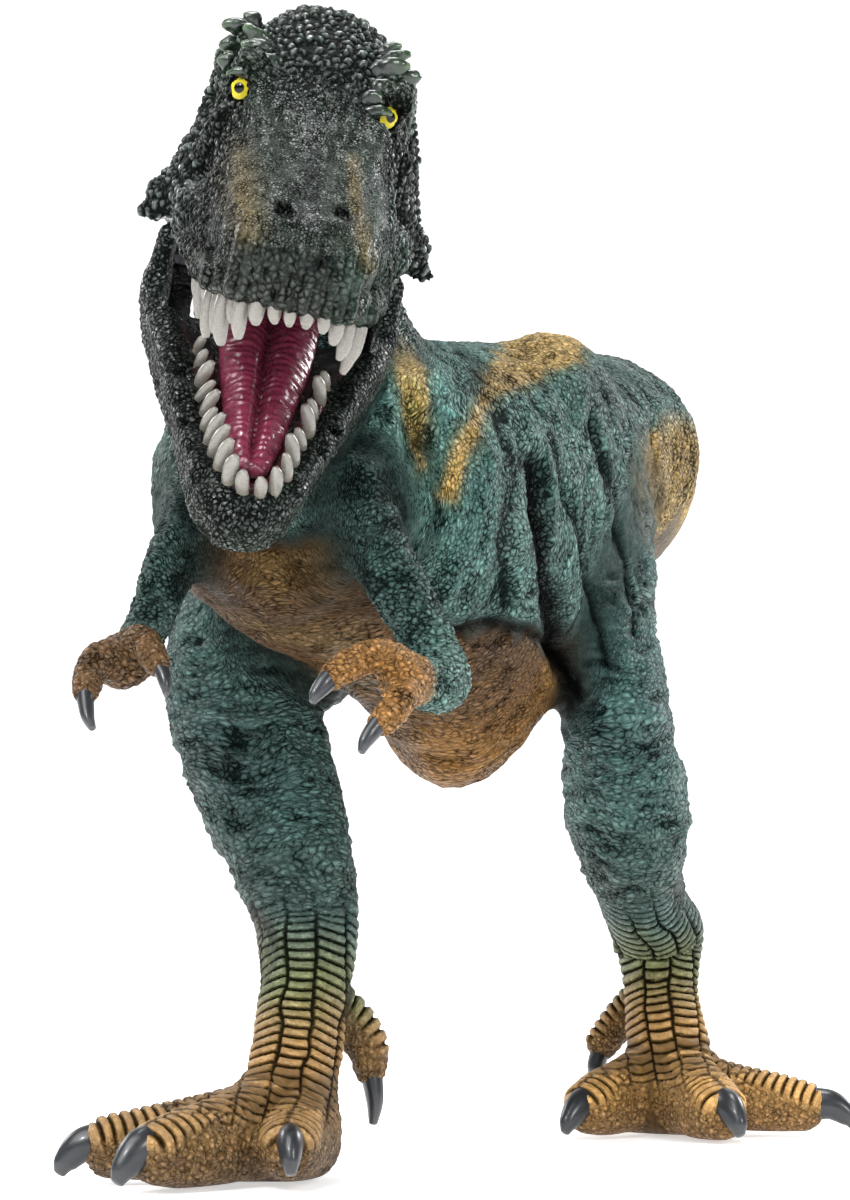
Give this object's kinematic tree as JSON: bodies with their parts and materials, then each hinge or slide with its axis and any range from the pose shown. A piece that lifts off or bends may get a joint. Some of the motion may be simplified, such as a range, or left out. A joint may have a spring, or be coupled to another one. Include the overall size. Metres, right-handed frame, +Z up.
{
  "type": "toy dinosaur figure",
  "caption": "Moulded toy figure of a striding two-legged dinosaur that stands on its own feet, with an open mouth and a hinged lower jaw",
  "frame": {"origin": "middle of the figure's bounding box on the surface that it stands on", "axes": "+Z up, the figure faces -Y, its own right side is -X; its length from snout to tail tip lies along Y"},
  "size_m": [0.1103, 0.2851, 0.1475],
  "materials": {
    "skin": "teal green painted vinyl with dark wash, tan belly, ochre stripes and brown feet",
    "head_skin": "dark green grey painted vinyl with fine beaded scales",
    "mouth": "wine red, glossy",
    "ivory": "ivory white, satin",
    "eye": "yellow with a black pupil, glossy",
    "pin": "plain steel pin"
  },
  "bodies": {
    "figure": {"torso": "skin", "tail": "skin", "head_and_neck": "head_skin", "jaw_hinge_pin": "pin", "palate": "mouth", "upper_teeth": "ivory", "right_eye": "eye", "left_eye": "eye", "right_arm": "skin", "left_arm": "skin", "right_leg": "skin", "left_leg": "skin"},
    "jaw": {"lower_jaw": "head_skin", "tongue": "mouth", "lower_teeth": "ivory"}
  },
  "joints": [
    {"name": "jaw_hinge", "type": "hinge", "parent": "figure", "child": "jaw", "pos_m": [-0.02822, -0.10003, 0.11267], "axis": [0.9707, 0.1402, -0.195], "range_deg": [-20, 2]}
  ]
}
